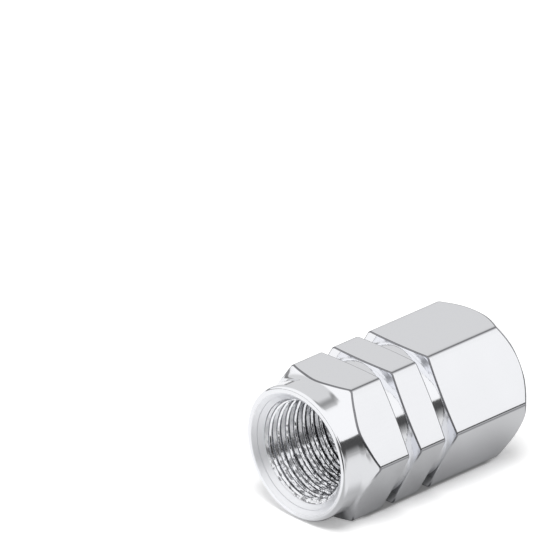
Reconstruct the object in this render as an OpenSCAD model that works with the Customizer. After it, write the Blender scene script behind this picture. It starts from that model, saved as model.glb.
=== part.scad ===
// Metal cap for a tyre valve, turned from hexagon bar, with a rubber seal
// at the bottom of its bore. It lies on one of its flats: the bore runs
// along Y and opens towards -Y, and the floor is at z = 0.
// Every depth is measured from the mouth, along the bore. Millimetres.

/* [Hexagon] */
// Bar size, measured across two opposite flats
hex_flats = 10; // [9.4:0.1:12]
// Radius of the bar's own rounded corners
bar_corner = 0.35; // [0.1:0.05:0.6]
// Length from the mouth to the closed end
cap_length = 17.3; // [15.5:0.1:21]
// Depth at which the six corners begin
corner_start = 2.5; // [2:0.1:3.2]
// Slope of the chamfer at the mouth end, measured from the axis
mouth_chamfer = 53; // [45:1:60]
// Slope of the chamfer at the closed end, measured from the axis
end_chamfer = 42; // [35:1:60]
// How far inside the flats the end chamfer would meet the end face
end_face_inset = 0.05; // [0.02:0.01:0.6]
// Rounding where the end face turns into its chamfer
end_round = 0.3; // [0.1:0.05:0.6]

/* [Collar] */
// How far the round collar is turned below the flats
collar_inset = 0.1; // [0.05:0.01:0.3]
// Fillet where the collar runs into the chamfer
collar_fillet = 0.8; // [0.3:0.1:1.2]
// Rounding on the outside of the rim
rim_round = 0.3; // [0.1:0.05:0.35]
// Rounding where the rim's face turns into the countersink
rim_inner_round = 0.1; // [0.05:0.01:0.2]
// Thickness of the wall at the rim, outside the countersink
rim_wall = 0.5; // [0.45:0.05:0.7]

/* [Grip grooves] */
// Number of grooves turned round the hexagon
groove_count = 2; // [1:1:3]
// Depth of the middle of the first groove
first_groove = 5.8; // [4.5:0.1:7]
// Distance from one groove to the next
groove_spacing = 3.45; // [2:0.05:3.6]
// Width of a groove on its floor
groove_floor = 0.88; // [0.4:0.02:1.4]
// Lean of each side of a groove, measured from square
groove_lean = 7; // [2:1:30]
// Cut of a groove below the middle of a flat
groove_cut = 0.13; // [0.05:0.01:0.4]

/* [Bore] */
// Diameter inside the crests of the valve thread
thread_minor = 6.95; // [6.85:0.01:7.05]
// Slope of the countersink, measured from the axis
countersink = 45; // [35:1:60]
// Depth of the shoulder that the seal lies on
seal_seat = 8.6; // [7.5:0.1:12]
// Diameter of the relief that the seal snaps into
relief_d = 8.1; // [7.6:0.05:8.5]
// Width of the relief, from the shoulder towards the mouth
relief_w = 1.6; // [1.5:0.1:2.5]
// Length that the tap drill runs on past the shoulder
drill_past_seat = 0.5; // [0.2:0.1:1.2]
// Full angle of the drill's point
drill_point = 118; // [90:1:140]

/* [Seal] */
// Thickness of the rubber washer
seal_t = 1.4; // [0.8:0.05:1.45]
// Diameter of the hole in the washer
seal_hole = 3; // [1.5:0.1:4.5]
// Gap round the washer in its relief
seal_gap = 0.1; // [0.05:0.01:0.3]
// Bevel on the washer's outer edges
seal_bevel = 0.2; // [0.05:0.05:0.35]

/* [Hidden] */
$fn = 96;
// Number of steps in a rounding
arc_steps = 6;
// Distance that a cut or an outline runs clear of the metal
past = 1;
apothem = hex_flats / 2;
// Radius of the turned body at the middle of a rounded corner
corner_r = (apothem - bar_corner) / cos(30) + bar_corner;
clear_r = corner_r + past;
end_face_r = apothem - end_face_inset;
collar_r = apothem - collar_inset;
mouth_r = collar_r - rim_wall;
groove_root_r = apothem - groove_cut;
minor_r = thread_minor / 2;
relief_r = relief_d / 2;
seal_r = relief_r - seal_gap;
// Depth at which the mouth end's chamfer would meet the collar
chamfer_foot = corner_start - (corner_r - collar_r) / tan(mouth_chamfer);
// How far each rounding reaches along the two lines that it joins
fillet_reach = collar_fillet * tan(mouth_chamfer / 2);
inner_reach = rim_inner_round * tan(45 - countersink / 2);
end_reach = end_round * tan(45 - end_chamfer / 2);

// Points along an arc about (x, y), from angle a to angle b
function arc(x, y, r, a, b) =
    [for (i = [0:arc_steps]) let (t = a + (b - a) * i / arc_steps) [x + r * cos(t), y + r * sin(t)]];

// Lays a piece, built upright with the mouth down at z = 0, on a flat of the hexagon
module laid_on_flat() {
    translate([0, -cap_length / 2, apothem]) rotate([-90, 0, 0]) children();
}

// The hexagon bar, with its rounded corners
module bar() {
    linear_extrude(cap_length) offset(r = bar_corner, $fn = 36)
        circle(r = (apothem - bar_corner) / cos(30), $fn = 6);
}

// The turned outside: rim, collar, fillet, both chamfers and the end face
module turned_outside() {
    rotate_extrude() polygon(concat(
        [[0, 0]],
        arc(collar_r - rim_round, rim_round, rim_round, -90, 0),
        arc(collar_r + collar_fillet, chamfer_foot - fillet_reach, collar_fillet, 180, 180 - mouth_chamfer),
        [
            [clear_r, chamfer_foot + (clear_r - collar_r) / tan(mouth_chamfer)],
            [clear_r, cap_length - (clear_r - end_face_r) / tan(end_chamfer)]
        ],
        arc(end_face_r - end_reach, cap_length - end_round, end_round, end_chamfer, 90),
        [[0, cap_length]]
    ));
}

// One grip groove, with a round floor and leaning sides
module groove_cutter() {
    half = groove_floor / 2;
    lean = (clear_r - groove_root_r) * tan(groove_lean);
    rotate_extrude() polygon([
        [groove_root_r, -half],
        [clear_r, -half - lean],
        [clear_r, half + lean],
        [groove_root_r, half]
    ]);
}

// The bore: countersink, wall inside the thread, relief for the seal, drill point
module bore_cutter() {
    drill_end = seal_seat + drill_past_seat;
    rotate_extrude() polygon(concat(
        [[0, -past], [mouth_r + inner_reach, -past]],
        arc(mouth_r + inner_reach, rim_inner_round, rim_inner_round, -90, countersink - 180),
        [
            [minor_r, (mouth_r - minor_r) / tan(countersink)],
            [minor_r, seal_seat - relief_w],
            [relief_r, seal_seat - relief_w],
            [relief_r, seal_seat],
            [minor_r, seal_seat],
            [minor_r, drill_end],
            [0, drill_end + minor_r / tan(drill_point / 2)]
        ]
    ));
}

module cap_body() color("gainsboro") laid_on_flat() difference() {
    intersection() {
        bar();
        turned_outside();
    }
    for (i = [0:groove_count - 1])
        translate([0, 0, first_groove + i * groove_spacing]) groove_cutter();
    bore_cutter();
}

module seal_washer() color("dimgray") laid_on_flat() translate([0, 0, seal_seat - seal_t])
    rotate_extrude() polygon([
        [seal_hole / 2, 0],
        [seal_r - seal_bevel, 0],
        [seal_r, seal_bevel],
        [seal_r, seal_t - seal_bevel],
        [seal_r - seal_bevel, seal_t],
        [seal_hole / 2, seal_t]
    ]);

cap_body();
seal_washer();
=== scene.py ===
"""The looks of a metal tyre valve cap: its turned body with the valve thread, its rubber seal, and a plain studio."""
from math import cos, pi, radians, sin, tan

import bmesh
import bpy
import numpy as np
from mathutils import Matrix, Vector


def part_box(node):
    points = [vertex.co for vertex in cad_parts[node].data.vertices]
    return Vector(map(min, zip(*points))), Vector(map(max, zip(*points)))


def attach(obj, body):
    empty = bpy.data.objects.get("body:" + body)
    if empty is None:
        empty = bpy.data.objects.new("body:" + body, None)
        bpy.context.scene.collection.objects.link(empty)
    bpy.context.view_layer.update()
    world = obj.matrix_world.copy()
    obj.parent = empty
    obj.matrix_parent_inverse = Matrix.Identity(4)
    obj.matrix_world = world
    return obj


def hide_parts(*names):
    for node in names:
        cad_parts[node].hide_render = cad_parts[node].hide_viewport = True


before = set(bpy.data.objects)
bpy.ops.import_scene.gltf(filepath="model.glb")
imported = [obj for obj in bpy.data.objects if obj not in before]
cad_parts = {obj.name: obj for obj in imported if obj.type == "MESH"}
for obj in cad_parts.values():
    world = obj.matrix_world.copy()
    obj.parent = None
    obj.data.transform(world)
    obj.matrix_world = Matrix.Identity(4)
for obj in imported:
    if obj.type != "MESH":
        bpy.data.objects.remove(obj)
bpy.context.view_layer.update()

# View: the cap lies on a flat with its mouth to the front left, seen from above
# through a very long lens, as in the photograph.
MM = 0.001
low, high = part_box("cap_body")
LENGTH = (high.y - low.y) / MM
APOTHEM = (high.z - low.z) / 2 / MM
CORNER_START = 2.5
PHOTO_PX = 559
FOCAL_PX = 14000
PX_PER_MM = 14.653
AZIMUTH, ELEVATION, ROLL = radians(46.32), radians(25.86), radians(-0.68)
# Where the photograph shows the point of the axis at which the hexagon's corners start
AXIS_POINT_PX = (322.15, 442.92)
SENSOR_MM = 36


def placed(name, data):
    """A new object of that name and data, linked to the scene."""
    made = bpy.data.objects.new(name, data)
    bpy.context.scene.collection.objects.link(made)
    return made


distance = FOCAL_PX / PX_PER_MM * MM
level_right = Vector((cos(AZIMUTH), sin(AZIMUTH), 0))
back = Vector((sin(AZIMUTH) * cos(ELEVATION), -cos(AZIMUTH) * cos(ELEVATION), sin(ELEVATION)))
level_down = level_right.cross(back)
right = cos(ROLL) * level_right - sin(ROLL) * level_down
down = sin(ROLL) * level_right + cos(ROLL) * level_down
axis_point = Vector((0, -LENGTH / 2 + CORNER_START, APOTHEM)) * MM
across, below = ((px - PHOTO_PX / 2) / FOCAL_PX * distance for px in AXIS_POINT_PX)
eye = axis_point - right * across - down * below + back * distance
camera = placed("camera", bpy.data.cameras.new("camera"))
camera.data.sensor_width = SENSOR_MM
camera.data.lens = SENSOR_MM * FOCAL_PX / PHOTO_PX
camera.data.clip_start, camera.data.clip_end = 0.01, 20
camera.matrix_world = Matrix((
    (right.x, -down.x, back.x, eye.x),
    (right.y, -down.y, back.y, eye.y),
    (right.z, -down.z, back.z, eye.z),
    (0, 0, 0, 1),
))
bpy.context.scene.camera = camera
bpy.context.scene.view_settings.view_transform = "Standard"

# Body: one piece of bright aluminium, turned and tapped from hexagon bar. The flats and the round
# corners are the bar's own drawn surface. Rim, collar, chamfers, grooves and end face are turned,
# and every edge is broken by a hair. Depths run from the mouth along the bore, in millimetres.
END_FACE_R, END_CHAMFER, END_ROUND = APOTHEM - 0.05, radians(42), 0.3
COLLAR_R, COLLAR_FILLET, MOUTH_CHAMFER = APOTHEM - 0.1, 0.8, radians(53)
RIM_ROUND, RIM_WALL, RIM_INNER_ROUND, COUNTERSINK = 0.3, 0.5, 0.1, radians(45)
GROOVE_DEPTHS, GROOVE_FLOOR, GROOVE_LEAN, GROOVE_R = (5.8, 9.25), 0.88, radians(7), APOTHEM - 0.13
THREAD_MINOR_R, THREAD_DEPTH, THREAD_PITCH, THREAD_END = 3.475, 0.312, 0.794, 7.0
RELIEF_R, SEAL_SEAT, DRILL_END, DRILL_POINT = 4.05, 8.6, 9.1, radians(118)
BAR_CORNER = 0.35
CORNER_R = (APOTHEM - BAR_CORNER) / cos(pi / 6) + BAR_CORNER
MOUTH_R = COLLAR_R - RIM_WALL
# How far the broken edges reach, and the strip beside each that stays true
EDGE, INNER_EDGE, KEEP_FLAT = 0.085, 0.03, 0.012
EDGE_STEPS, ROUND_STEPS, SIDE_ROWS, CORNER_STEPS, FLAT_STEPS = 4, 8, 12, 10, 22
# Points nearer than the first are one, and edges shorter than the second are none, in metres
SAME_POINT, NO_LENGTH = 1e-7, 1e-8
# Slack in millimetres for a test of which face a row lies on
CLOSE = 0.001
# The tap's countersink leaves a short step halfway and another where the thread starts
STEP_R, STEP_LENGTH, LEAD_SLOPE = 4.12, 0.04, radians(62)
THREAD_WANDER, THREAD_PHASE = 0.019, -0.576
# The thread's profile from one crest to the next: the back flank, the root, and a front flank with
# a ledge on it. Each corner lies between four close rows.
THREAD_CORNERS = np.array([0, 0.337, 0.431, 0.611, 0.705])
THREAD_HEIGHTS = np.array([0, THREAD_DEPTH, THREAD_DEPTH, 0.154, 0.154])
THREAD_ROWS = (THREAD_CORNERS[:, None] + (-0.026, -0.012, 0.012, 0.026)).ravel() / THREAD_PITCH


def hexagon_columns():
    """Angles round the axis, from the top, and the rounded hexagon's radius at each. A flat has radius apothem
    over the cosine of the angle from its middle, and a corner is an arc about a point on the corner's line."""
    flat_end = np.arctan((APOTHEM - BAR_CORNER) * tan(pi / 6) / APOTHEM)
    on_flat = np.linspace(-flat_end, flat_end, FLAT_STEPS + 1)
    keep = KEEP_FLAT / APOTHEM
    on_flat = np.concatenate([[-flat_end, -flat_end + keep], on_flat[1:-1], [flat_end - keep, flat_end]])
    turn = np.linspace(-pi / 6, pi / 6, CORNER_STEPS + 1)[1:-1]
    x = CORNER_R - BAR_CORNER + BAR_CORNER * np.cos(turn)
    y = BAR_CORNER * np.sin(turn)
    around = np.concatenate([on_flat, pi / 6 + np.arctan2(y, x)])
    radius = np.concatenate([APOTHEM / np.cos(on_flat), np.hypot(x, y)])
    sector = np.arange(6)[:, None] * pi / 3
    theta, radius = (sector + around).ravel() % (2 * pi), np.tile(radius, 6)
    order = np.argsort(theta)
    return theta[order], radius[order]


def broken_edges(stations):
    """Rows of a profile whose corners are rounded. A station is radius and depth at each column, with the reach of
    its rounding and the number of its steps. Each rounding is a conic that touches both sides of its corner.
    Also gives 1 for each row on a rounding of the outer edges' reach, and 0 for the others."""
    points = [np.stack(np.broadcast_arrays(r, s, THETA)[:2], 1).astype(float) for r, s, _, _ in stations]
    rows, on_edge = [], []
    for i, (_, _, reach, steps) in enumerate(stations):
        if reach == 0:
            rows.append(points[i])
            on_edge.append(0)
            continue
        before, after = points[i - 1] - points[i], points[i + 1] - points[i]
        before /= np.linalg.norm(before, axis=1, keepdims=True)
        after /= np.linalg.norm(after, axis=1, keepdims=True)
        weight = np.sqrt((1 - (before * after).sum(1, keepdims=True)) / 2)
        start, end = points[i] + reach * before, points[i] + reach * after
        rows.append(start + KEEP_FLAT * before)
        for t in np.linspace(0, 1, steps + 1):
            a, b, c = (1 - t) ** 2, 2 * t * (1 - t) * weight, t**2
            rows.append((a * start + b * points[i] + c * end) / (a + b + c))
        rows.append(end + KEEP_FLAT * after)
        on_edge += [0] + [int(reach == EDGE)] * (steps + 1) + [0]
    return np.array(rows), np.array(on_edge)


def bend(length, radius, turn):
    """How far a line goes ahead and aside, at a length along it: an arc of that radius and turn, then straight on."""
    turned = np.minimum(length / radius, turn)
    straight = length - turned * radius
    ahead = radius * np.sin(turned) + straight * cos(turn)
    return ahead, radius * (1 - np.cos(turned)) + straight * sin(turn)


def mouth_side(length):
    """Radius and depth on the collar's fillet, and then on the mouth's chamfer, at a length from the fillet's start."""
    foot = CORNER_START - (CORNER_R - COLLAR_R) / tan(MOUTH_CHAMFER)
    ahead, aside = bend(length, COLLAR_FILLET, MOUTH_CHAMFER)
    return COLLAR_R + aside, foot - COLLAR_FILLET * tan(MOUTH_CHAMFER / 2) + ahead


def end_side(length):
    """Radius and depth on the end face's rounding, and then on its chamfer, at a length from the rounding's start."""
    ahead, aside = bend(length, END_ROUND, pi / 2 - END_CHAMFER)
    return END_FACE_R - END_ROUND * tan(pi / 4 - END_CHAMFER / 2) + ahead, LENGTH - aside


def length_to_hexagon(side):
    """Length along a turned side at which its radius is the hexagon's, found between close samples of the side."""
    samples = np.linspace(0, 3, 6001)
    return np.interp(HEX_R, side(samples)[0], samples)


def wander(turn, depth):
    """Slow irregular waviness round the thread, from -1 to 1: a sum of sines of unlike frequency."""
    fine = np.sin(29 * turn - 4.1 * depth) + np.sin(47 * turn + 9.7 * depth + 1.3)
    return (np.sin(7 * turn + 2.3 * depth) + np.sin(13 * turn - 5.9 * depth + 0.7) + fine) / 4


def thread_radius(depth, turn):
    """Radius of the bore with its thread: the profile's height over the crest, read at the share of a pitch that the
    depth and the turn come to, and wandering a little. The lead-in's cone cuts the thread off at the mouth."""
    phase = (depth + THREAD_WANDER * wander(turn, depth)) / THREAD_PITCH - turn / (2 * pi) + THREAD_PHASE
    height = np.interp(phase, THREAD_CORNERS / THREAD_PITCH, THREAD_HEIGHTS, period=1)
    r = THREAD_MINOR_R + height - THREAD_WANDER * wander(turn + 2, 2 * depth)
    root_r = THREAD_MINOR_R + THREAD_DEPTH
    return np.maximum(np.minimum(r, root_r), root_r - (depth - thread_start) * tan(LEAD_SLOPE))


def wall_faces(start, rows, seam_shift=0):
    """Quads between neighbouring rows and columns. Across the last column, rows meet those a thread's turn on."""
    columns = THETA.size
    k, j = np.meshgrid(np.arange(rows - 1), np.arange(columns), indexing="ij")
    shift = np.where(j == columns - 1, seam_shift, 0)
    fits = k + 1 + shift < rows
    k, j, shift = k[fits], j[fits], shift[fits]
    ahead = (j + 1) % columns
    return start + np.stack([
        k * columns + j, (k + 1) * columns + j, (k + 1 + shift) * columns + ahead, (k + shift) * columns + ahead,
    ], 1)


def weld(mesh):
    """Merges the points of a mesh that lie together, turns its faces outwards and shades it smooth."""
    welded = bmesh.new()
    welded.from_mesh(mesh)
    bmesh.ops.remove_doubles(welded, verts=welded.verts, dist=SAME_POINT)
    bmesh.ops.dissolve_degenerate(welded, edges=welded.edges, dist=NO_LENGTH)
    bmesh.ops.recalc_face_normals(welded, faces=welded.faces)
    welded.to_mesh(mesh)
    welded.free()
    mesh.shade_smooth()


def closed_mesh(name, parts, poles):
    """Mesh of sheets whose common rings are merged, with a fan of triangles to each pole. A sheet is points, faces,
    and three values at each point: how strong the tool marks are, whether it is thread, and how much it is a broken
    edge, which is rougher and carries a painted dark line of shade."""
    points = np.concatenate([part[0] for part in parts] + [np.array(poles)])
    faces = np.concatenate([part[1] for part in parts]).tolist()
    columns, last = THETA.size, len(points) - len(poles)
    ring = np.arange(columns)
    end = last - columns + ring
    faces += np.stack([ring, np.roll(ring, -1), np.full(columns, last)], 1).tolist()
    faces += np.stack([np.roll(end, -1), end, np.full(columns, last + 1)], 1).tolist()
    mesh = bpy.data.meshes.new(name)
    mesh.from_pydata((points * MM).tolist(), [], faces)
    for i, attribute in ((2, "tool_marks"), (3, "threaded"), (4, "edge")):
        values = np.concatenate([part[i] for part in parts] + [np.zeros(len(poles))])
        mesh.attributes.new(attribute, "FLOAT", "POINT").data.foreach_set("value", values.astype(np.float32))
    weld(mesh)
    return mesh


def round_the_axis(rows):
    """Points in space of rows of radius and depth: sideways by the sine of the column's angle, up by its cosine."""
    r, s = rows[..., 0], rows[..., 1]
    xyz = np.stack([r * np.sin(THETA), s - LENGTH / 2, APOTHEM + r * np.cos(THETA)], -1)
    return xyz.reshape(-1, 3)


THETA, HEX_R = hexagon_columns()

# Outside, from the middle of the end face to the mouth, and in to where the thread starts
outside = [(END_FACE_R * share, LENGTH, 0, 0) for share in (0.05, 0.3, 0.6, 0.85)]
end_length = length_to_hexagon(end_side)
outside += [(*end_side((end_length - 2 * EDGE) * share), 0, 0) for share in np.linspace(0, 1, SIDE_ROWS)]
outside.append((HEX_R, end_side(end_length)[1], EDGE, EDGE_STEPS))
for depth in reversed(GROOVE_DEPTHS):
    lean = (HEX_R - GROOVE_R) * tan(GROOVE_LEAN)
    outside.append((HEX_R, depth + GROOVE_FLOOR / 2 + lean, EDGE, EDGE_STEPS))
    outside.append((GROOVE_R, depth + GROOVE_FLOOR / 2, INNER_EDGE, EDGE_STEPS))
    outside.append((GROOVE_R, depth - GROOVE_FLOOR / 2, INNER_EDGE, EDGE_STEPS))
    outside.append((HEX_R, depth - GROOVE_FLOOR / 2 - lean, EDGE, EDGE_STEPS))
mouth_length = length_to_hexagon(mouth_side)
outside.append((HEX_R, mouth_side(mouth_length)[1], EDGE, EDGE_STEPS))
outside += [(*mouth_side((mouth_length - 2 * EDGE) * share), 0, 0) for share in np.linspace(1, 0, SIDE_ROWS)]
outside.append((COLLAR_R, 0, RIM_ROUND, ROUND_STEPS))
outside.append((MOUTH_R, 0, RIM_INNER_ROUND * tan((pi / 2 - COUNTERSINK) / 2), EDGE_STEPS))
step_depth = (MOUTH_R - STEP_R) / tan(COUNTERSINK)
thread_start = step_depth + STEP_LENGTH + (STEP_R - THREAD_MINOR_R - THREAD_DEPTH) / tan(COUNTERSINK)
outside.append((STEP_R, step_depth, STEP_LENGTH / 4, 1))
outside.append((STEP_R, step_depth + STEP_LENGTH, STEP_LENGTH / 4, 1))
outside.append((THREAD_MINOR_R + THREAD_DEPTH + 0.02, thread_start - 0.02, 0, 0))
outside.append((THREAD_MINOR_R + THREAD_DEPTH, thread_start, 0, 0))
outside_rows, outside_edges = broken_edges(outside)
on_hexagon = np.isclose(outside_rows[..., 0], HEX_R, atol=1e-6)
# The bar's corners carry a painted dark line of shade along their middle, as the broken edges do
painted_corner_line = np.exp(-(((THETA % (pi / 3) - pi / 6) / 0.018) ** 2))
painted_edge_shade = np.maximum(outside_edges[:, None], painted_corner_line * on_hexagon)
outside_depth = outside_rows[..., 1]
in_groove = outside_rows[..., 0] < GROOVE_R + CLOSE
in_groove &= (outside_depth > CORNER_START) & (outside_depth < LENGTH - 1)
on_end = outside_depth > LENGTH - CLOSE
outside_marks = np.select([on_end, on_hexagon, in_groove], [0.8, 0.0, 1.0], 0.35)

# Thread: rows that climb one pitch in a turn, held between its two ends
turns = np.arange(-2, THREAD_END / THREAD_PITCH + 2)
climb = (turns[:, None] + THREAD_ROWS).reshape(-1, 1) - THREAD_PHASE + THETA / (2 * pi)
thread_depth = np.clip(climb * THREAD_PITCH, thread_start, THREAD_END)
thread_rows = np.stack([thread_radius(thread_depth, THETA + 0 * thread_depth), thread_depth], -1)

# Blind end: the relief that holds the seal, its shoulder, and the end of the tap drill's hole
blind_rows, blind_edges = broken_edges([
    (thread_rows[-1, :, 0], THREAD_END, 0, 0),
    (RELIEF_R, THREAD_END, INNER_EDGE, EDGE_STEPS),
    (RELIEF_R, SEAL_SEAT, INNER_EDGE, EDGE_STEPS),
    (THREAD_MINOR_R, SEAL_SEAT, EDGE, EDGE_STEPS),
    (THREAD_MINOR_R, DRILL_END, INNER_EDGE, EDGE_STEPS),
    (0.3, DRILL_END + (THREAD_MINOR_R - 0.3) / tan(DRILL_POINT / 2), 0, 0),
])

sheets, first = [], 0
for rows, shift, marks, thread, edge in (
    (outside_rows, 0, outside_marks, 0.0, painted_edge_shade),
    (thread_rows, THREAD_ROWS.size, 0.6, 1.0, 0.0),
    (blind_rows, 0, 0.5, 0.0, blind_edges[:, None]),
):
    shape = rows.shape[:2]
    values = [np.broadcast_to(value, shape).ravel() for value in (marks, thread, edge)]
    sheets.append((round_the_axis(rows), wall_faces(first, len(rows), shift), *values))
    first += shape[0] * shape[1]
drill_tip = DRILL_END + THREAD_MINOR_R / tan(DRILL_POINT / 2)
poles = [(0, LENGTH / 2, APOTHEM), (0, drill_tip - LENGTH / 2, APOTHEM)]
body = placed("turned_body", closed_mesh("turned_body", sheets, poles))


class Socket:
    """An output in a node tree. Sums, products and the like of these add the Math nodes that work them out."""

    def __init__(self, tree, out=None):
        self.tree, self.out = tree, out

    def node(self, kind, settings=None, sockets=None, out=0):
        """Adds a node of that type, sets its settings and then its sockets, by name or number, and gives an output."""
        made = self.tree.nodes.new(kind)
        for key, value in (settings or {}).items():
            setattr(made, key, value)
        for key, value in (sockets or {}).items():
            if isinstance(value, Socket):
                self.tree.links.new(value.out, made.inputs[key])
            else:
                made.inputs[key].default_value = value
        return Socket(self.tree, made.outputs[out] if made.outputs else None)

    def maths(self, operation, *values):
        return self.node("ShaderNodeMath", {"operation": operation}, dict(enumerate(values)))

    def __add__(self, other):
        return self.maths("ADD", self, other)

    def __sub__(self, other):
        return self.maths("SUBTRACT", self, other)

    def __rsub__(self, other):
        return self.maths("SUBTRACT", other, self)

    def __mul__(self, other):
        return self.maths("MULTIPLY", self, other)

    __radd__, __rmul__ = __add__, __mul__


def smooth_between(value, start, end):
    """0 below start and 1 above end, with a smooth rise between."""
    return value.node("ShaderNodeMapRange", {"interpolation_type": "SMOOTHSTEP"}, {
        "Value": value, "From Min": start, "From Max": end,
    })


def mixed(factor, first, second):
    """The first colour where the factor is 0, the second where it is 1, and a blend of both between."""
    return factor.node("ShaderNodeMix", {"data_type": "RGBA"}, {"Factor": factor, 6: first, 7: second}, out=2)


def new_material(name):
    """An empty node material, and the socket that its nodes are added from."""
    material = bpy.data.materials.new(name)
    material.use_nodes = True
    material.node_tree.nodes.clear()
    return material, Socket(material.node_tree)


def bright_aluminium():
    """Polished aluminium. Turned faces carry fine rings, flats carry faint drawing lines, and the tapped thread has
    torn flanks that are duller than its crests. The crests are lighter in colour than the flanks, partly as a burnished
    crest's own tone and partly as a painted highlight, and low in the bore the flanks are painted lighter, with dark
    flecks of painted shade. The cap's broken edges are rougher and carry painted dark lines of shade, above all on its
    upper half and along the flat underneath."""
    material, tree = new_material("bright_aluminium")
    place = tree.node("ShaderNodeTexCoord", out="Object")
    x, y, z = (place.node("ShaderNodeSeparateXYZ", None, {0: place}, out=i) for i in range(3))
    marks = tree.node("ShaderNodeAttribute", {"attribute_name": "tool_marks"}, out="Fac")
    threaded = tree.node("ShaderNodeAttribute", {"attribute_name": "threaded"}, out="Fac")
    edge = tree.node("ShaderNodeAttribute", {"attribute_name": "edge"}, out="Fac")
    up = z - APOTHEM * MM
    radius = x.maths("SQRT", x * x + up * up)
    # Rings: long round the axis, narrow across it
    ring = (y + radius * 1.7) * 8000.0
    lathe = tree.node("ShaderNodeCombineXYZ", None, {0: x * 350.0, 1: up * 350.0, 2: ring})
    rings = tree.node("ShaderNodeTexNoise", None, {"Vector": lathe, "Scale": 1.0, "Detail": 2.0})
    # Drawing lines: long along the bar
    bar = tree.node("ShaderNodeCombineXYZ", None, {0: x * 9000.0, 1: y * 130.0, 2: up * 9000.0})
    drawn = tree.node("ShaderNodeTexNoise", None, {"Vector": bar, "Scale": 1.0, "Detail": 2.0})
    # Tears: short streaks along the thread's turns
    torn = tree.node("ShaderNodeCombineXYZ", None, {0: x * 2300.0, 1: up * 2300.0, 2: y * 6500.0})
    tears = tree.node("ShaderNodeTexNoise", None, {"Vector": torn, "Scale": 1.0, "Detail": 2.5})
    soft = tree.node("ShaderNodeTexNoise", None, {"Vector": place, "Scale": 260.0, "Detail": 2.0})
    # 1 on the bar's own surface, which has no tool marks
    plain = 1 - marks.maths("MINIMUM", marks * 4.0, 1.0)
    # The bottom of the bore, where the thread is torn most and its flanks are painted lighter
    lower = 1 - smooth_between(up, -2.4 * MM, -1.7 * MM)
    height = rings * marks * marks * 0.9 + drawn * plain * 0.03 + tears * threaded * (2.0 + 6.5 * lower)
    bump = tree.node("ShaderNodeBump", None, {"Strength": 1.0, "Distance": 0.00001, "Height": height})
    flank = smooth_between(radius, (THREAD_MINOR_R + 0.13) * MM, (THREAD_MINOR_R + 0.17) * MM) * threaded
    # The countersink's cone, inside the rim and near the mouth
    cone = 1 - smooth_between(radius, (MOUTH_R + 0.02) * MM, (MOUTH_R + 0.1) * MM)
    cone *= 1 - smooth_between(y, (0.75 - LENGTH / 2) * MM, (1.15 - LENGTH / 2) * MM)
    dull = threaded * 0.03 + flank * 0.1 + cone * (1 - threaded) * 0.35
    roughness = 0.07 + rings * marks * 0.05 + soft * 0.02 + dull + edge * 0.15
    # Crests lighter in colour than flanks: partly the burnished crest's own tone, partly a painted highlight; low in
    # the bore the flanks are painted lighter
    tone = mixed(flank * (0.9 - 0.6 * lower) + soft * 0.1, (0.93, 0.938, 0.965, 1), (0.82, 0.828, 0.855, 1))
    # Dark flecks of painted shade, low in the bore
    flecks = smooth_between(tears, 0.51, 0.6) * threaded * (1 - smooth_between(up, -2.2 * MM, -1.2 * MM))
    tone = mixed(flecks * 0.75, tone, (0.1, 0.1, 0.11, 1))
    # Where the broken edges get painted dark lines of shade: the upper half, and the edges of the lowest flat
    lines = smooth_between(up, -1.2 * MM, -0.3 * MM) + 1 - smooth_between(up, -4.8 * MM, -4.3 * MM)
    tone = mixed(edge * (0.1 + 0.8 * lines), tone, (0.2, 0.2, 0.215, 1))
    metal = tree.node("ShaderNodeBsdfPrincipled", None, {
        "Base Color": tone, "Metallic": 1.0, "Roughness": roughness, "Normal": bump,
    })
    tree.node("ShaderNodeOutputMaterial", None, {"Surface": metal})
    return material


body.data.materials.append(bright_aluminium())
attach(body, "root")
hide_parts("cap_body")

# Seal: a moulded rubber washer, snapped into the relief at the blind end, where it
# closes on the valve's mouth. Its edges are round, as they leave the mould.
seal_low, seal_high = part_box("seal_washer")
SEAL_R, SEAL_FRONT = (seal_high.x - seal_low.x) / 2 / MM, seal_low.y / MM + LENGTH / 2
SEAL_BACK, SEAL_HOLE_R, SEAL_EDGE = seal_high.y / MM + LENGTH / 2, 1.5, 0.2
seal_middle = (SEAL_R + SEAL_HOLE_R) / 2
seal_rows, _ = broken_edges([
    (seal_middle, SEAL_FRONT, 0, 0),
    (SEAL_HOLE_R, SEAL_FRONT, SEAL_EDGE, ROUND_STEPS),
    (SEAL_HOLE_R, SEAL_BACK, SEAL_EDGE, ROUND_STEPS),
    (SEAL_R, SEAL_BACK, SEAL_EDGE, ROUND_STEPS),
    (SEAL_R, SEAL_FRONT, SEAL_EDGE, ROUND_STEPS),
    (seal_middle, SEAL_FRONT, 0, 0),
])
seal_mesh = bpy.data.meshes.new("rubber_seal")
seal_mesh.from_pydata((round_the_axis(seal_rows) * MM).tolist(), [], wall_faces(0, len(seal_rows)).tolist())
weld(seal_mesh)
seal = placed("rubber_seal", seal_mesh)


def seal_rubber():
    """Matt black rubber with a fine moulded grain and a little bloom."""
    material, tree = new_material("seal_rubber")
    place = tree.node("ShaderNodeTexCoord", out="Object")
    grain = tree.node("ShaderNodeTexNoise", None, {"Vector": place, "Scale": 9000.0, "Detail": 4.0})
    bloom = tree.node("ShaderNodeTexNoise", None, {"Vector": place, "Scale": 700.0, "Detail": 2.0})
    bump = tree.node("ShaderNodeBump", None, {"Strength": 0.3, "Distance": 0.00002, "Height": grain})
    tone = mixed(bloom, (0.018, 0.018, 0.019, 1), (0.045, 0.045, 0.047, 1))
    rubber = tree.node("ShaderNodeBsdfPrincipled", None, {
        "Base Color": tone, "Roughness": 0.55 + bloom * 0.2, "Normal": bump,
    })
    tree.node("ShaderNodeOutputMaterial", None, {"Surface": rubber})
    return material


seal_mesh.materials.append(seal_rubber())
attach(seal, "root")
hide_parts("seal_washer")

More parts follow.
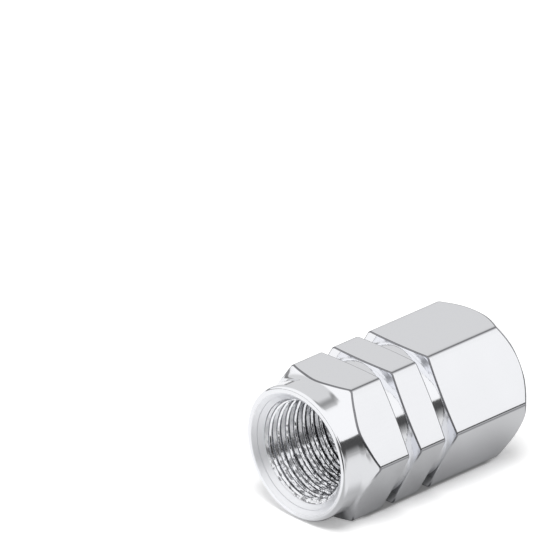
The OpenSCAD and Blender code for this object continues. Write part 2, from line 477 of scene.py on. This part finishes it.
# Studio: a wide white table under a white sky, with a soft lamp high at the right front. What the
# metal mirrors is drawn in the world: a bright screen at the right, a greyer gap beside it overhead,
# a back that is greyer at the left, and a dark strip of the room over the edge of the table.
TABLE_HALF = 4.0
table_mesh = bpy.data.meshes.new("table")
table_mesh.from_pydata([(-TABLE_HALF, -TABLE_HALF, 0), (TABLE_HALF, -TABLE_HALF, 0),
                        (TABLE_HALF, TABLE_HALF, 0), (-TABLE_HALF, TABLE_HALF, 0)], [], [(0, 1, 2, 3)])
table = placed("table", table_mesh)


def white_table():
    """White table, a little brighter than the lamp makes it, with a painted contact shadow: a dark line where the cap's
    lowest flat meets it. In the metal's reflection it carries painted shade: it is greyer overall, and more so beside
    the cap's right flats, under it and far to its right. Before the mouth the reflection also has a painted grey wedge
    to the right and a painted dark band straight in front."""
    material, tree = new_material("white_table")
    place = tree.node("ShaderNodeTexCoord", out="Object")
    x, y = (place.node("ShaderNodeSeparateXYZ", None, {0: place}, out=i) for i in range(2))
    path = tree.node("ShaderNodeLightPath", out="Is Camera Ray")
    glossy = tree.node("ShaderNodeLightPath", out="Is Glossy Ray")
    # Painted shade that only the metal's reflection shows: the cap's shadow beside and under it, a darkening far to the
    # right, and the wedge and band before the mouth
    beside = smooth_between(x, -0.002, 0.003) * 0.3 - smooth_between(x, 0.0055, 0.009) * 0.17
    near_flats = smooth_between(x, 0, 0.003) * (1 - smooth_between(x, 0.0055, 0.008))
    beside += near_flats * (1 - smooth_between(y, 0.002, 0.006)) * 0.08
    beyond = smooth_between(x, 0.015, 0.12) * 0.28
    under = 1 - smooth_between(x.maths("ABSOLUTE", x), 0.0021, 0.0028)
    under *= 1 - smooth_between(y.maths("ABSOLUTE", y), 0.008, 0.0088)
    wedge = smooth_between(x + y * 0.65, -0.002, 0.004) * smooth_between(-1 * y - x * 0.5, -0.002, 0.004)
    patch = wedge * smooth_between(-1 * y, 0.016, 0.024) * (1 - 0.7 * smooth_between(-1 * y, 0.028, 0.042))
    front = smooth_between(-1 * y, 0.018, 0.023) * smooth_between(x, -0.007, -0.004)
    front *= 1 - smooth_between(x + y * 0.27, -0.003, 0.002)
    painted_reflected_shade = 0.22 + beside + beyond + under * 0.3 + patch * 0.28 + front * 0.6
    # Painted contact shadow: the dark line that the camera sees along the lowest flat
    foot = 1 - smooth_between(x.maths("ABSOLUTE", x), 0.0029, 0.0033)
    foot *= 1 - smooth_between(y.maths("ABSOLUTE", y - 0.0009), 0.0055, 0.0068)
    tone = mixed(painted_reflected_shade * glossy + foot * path * 0.6, (1, 1, 1, 1), (0, 0, 0, 1))
    surface = tree.node("ShaderNodeBsdfDiffuse", None, {"Color": tone})
    glow = tree.node("ShaderNodeEmission", None, {"Color": tone, "Strength": 0.25 * (path + glossy)})
    both = tree.node("ShaderNodeAddShader", None, {0: surface, 1: glow})
    tree.node("ShaderNodeOutputMaterial", None, {"Surface": both})
    return material


table_mesh.materials.append(white_table())

LAMP_SHARE = 0.6
LAMP_FROM = Vector((0.28, -0.28, 0.92)).normalized()
lamp = placed("soft_lamp", bpy.data.lights.new("soft_lamp", "SUN"))
lamp.data.energy = LAMP_SHARE * pi / LAMP_FROM.z
lamp.data.angle = radians(28)
lamp.rotation_euler = LAMP_FROM.to_track_quat("Z", "Y").to_euler()
lamp.visible_glossy = False

world = bpy.data.worlds.new("studio")
bpy.context.scene.world = world
world.use_nodes = True
world.node_tree.nodes.clear()
sky = Socket(world.node_tree)
direction = sky.node("ShaderNodeTexCoord", out="Generated")
dx, dy, dz = (direction.node("ShaderNodeSeparateXYZ", None, {0: direction}, out=i) for i in range(3))
# Height round the cap's axis, over the right side: 0 on the table's right, a half turn on its left
round_axis = dz.maths("ARCTAN2", dz, dx)
gap_side = smooth_between(round_axis, radians(92), radians(104))
gap = smooth_between(round_axis, radians(76), radians(84)) * (1 - gap_side)
screen = 1 - smooth_between(round_axis, radians(78), radians(94))
side = smooth_between(dy, -0.3, 0.1)
mirrored = 1 - side * (1 - screen) * 0.3 - side * gap * 0.4
# The strip's top slopes up to the right, so that the metal shows it at one angle round the axis.
# It is highest towards the right front corner and low straight in front, and hazy at its foot.
in_front = 1 - smooth_between(dy, -0.88, -0.74)
corner_top = dx * 0.62 - 0.127 + smooth_between(-1 * dy, 0.5, 0.64) * 0.17
strip_top = dx.maths("MAXIMUM", corner_top * (1 - in_front), 0.08)
under_top = strip_top - dz
haze = smooth_between(dy, -0.6, -0.2) * (1 - smooth_between(dz, 0.0, 0.15)) * 0.3
strip = smooth_between(under_top, -0.01, 0.01) * (1 - haze)
mirrored = mirrored * (1 - strip * 0.93)
path = sky.node("ShaderNodeLightPath", out="Is Camera Ray")
glossy = sky.node("ShaderNodeLightPath", out="Is Glossy Ray")
ambient = (1 - LAMP_SHARE) * (1 - 0.5 * dx - 0.3 * dy)
strength = path + mirrored * glossy + ambient * (1 - path - glossy)
background = sky.node("ShaderNodeBackground", None, {"Color": (1, 1, 1, 1), "Strength": strength})
sky.node("ShaderNodeOutputWorld", None, {"Surface": background})
